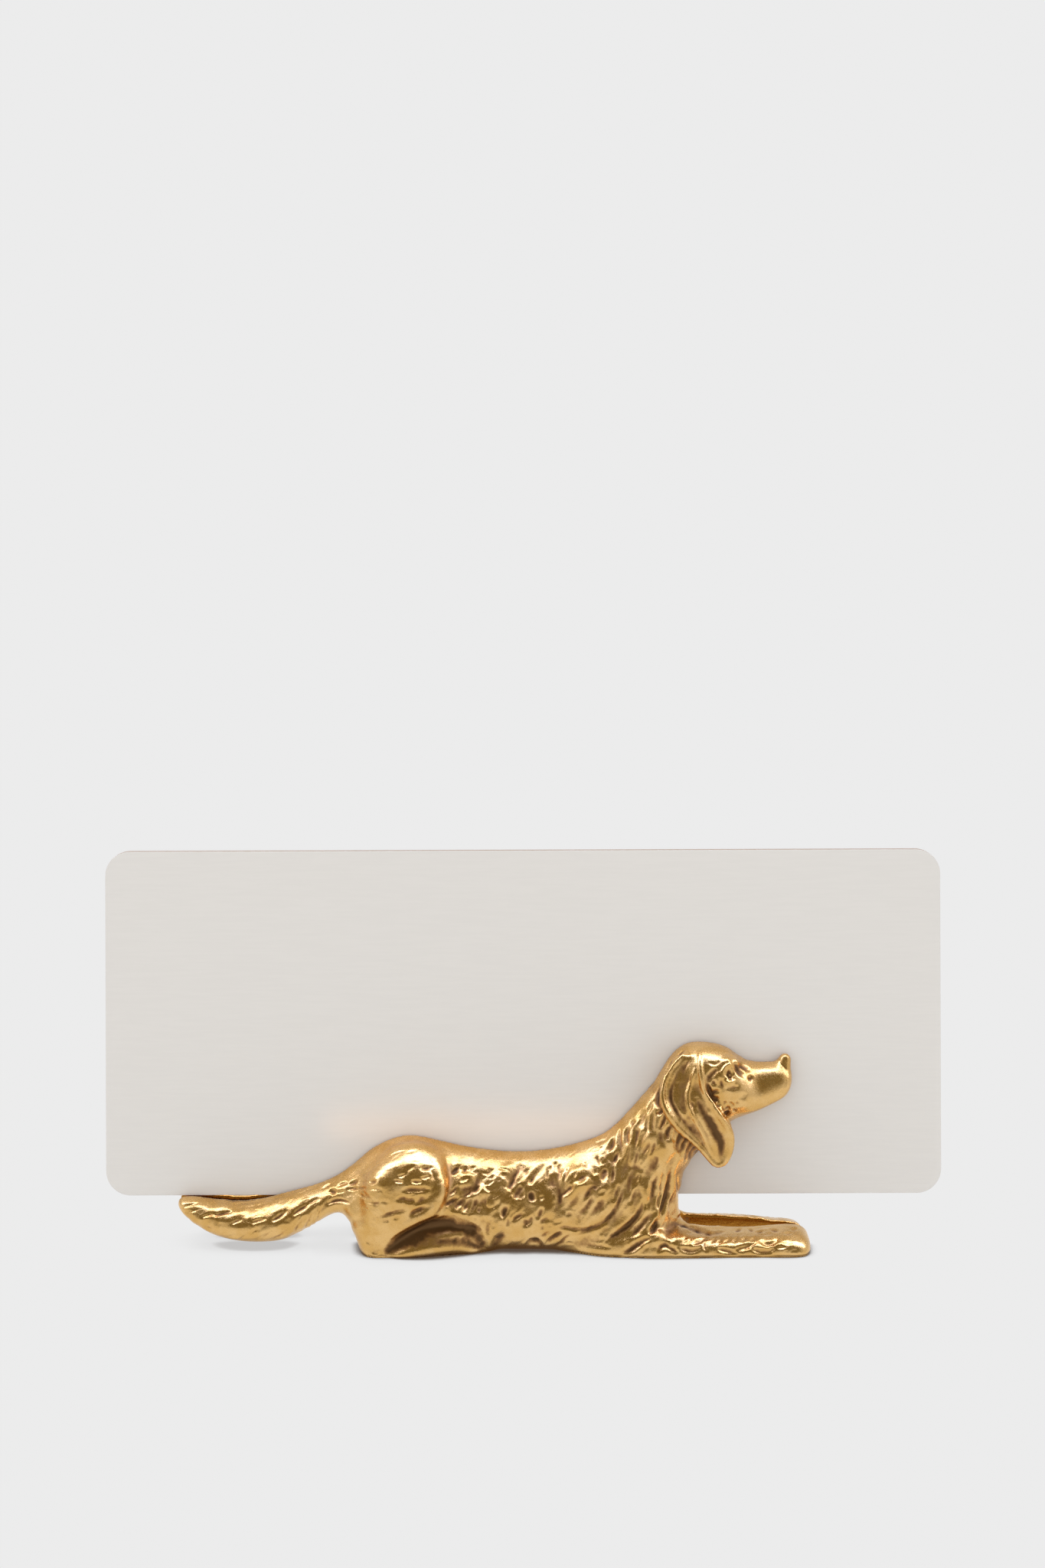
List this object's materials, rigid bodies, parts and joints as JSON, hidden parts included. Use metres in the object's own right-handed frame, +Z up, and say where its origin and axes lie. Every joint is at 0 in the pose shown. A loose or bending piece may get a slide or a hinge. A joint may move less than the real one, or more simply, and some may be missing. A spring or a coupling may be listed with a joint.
{
  "type": "place card holder",
  "caption": "Lying hound place card holder: two hollow-backed brass castings joined by a seat bar, with a plain card standing in the slot between them.",
  "frame": {"origin": "centre of the card's width in the card's plane, at table height", "axes": "+Z up, +X towards the hound's nose along the card, -Y towards the side that the reader sees"},
  "size_m": [0.108, 0.0178, 0.0503],
  "materials": {
    "antique_brass": "polished pale gold on the high places, dark brown patina left in the hollows",
    "bar_brass": "plain drawn brass, dulled",
    "card_stock": "stiff warm white card with a fine horizontal grain, blank"
  },
  "bodies": {
    "holder": {"front_half": "antique_brass", "rear_half": "antique_brass", "card_seat": "bar_brass"},
    "card": {"place_card": "card_stock"}
  },
  "joints": [
    {"name": "card_lift", "type": "slide", "parent": "holder", "child": "card", "axis": [0, 0, 1], "range_m": [0, 0.025]}
  ]
}
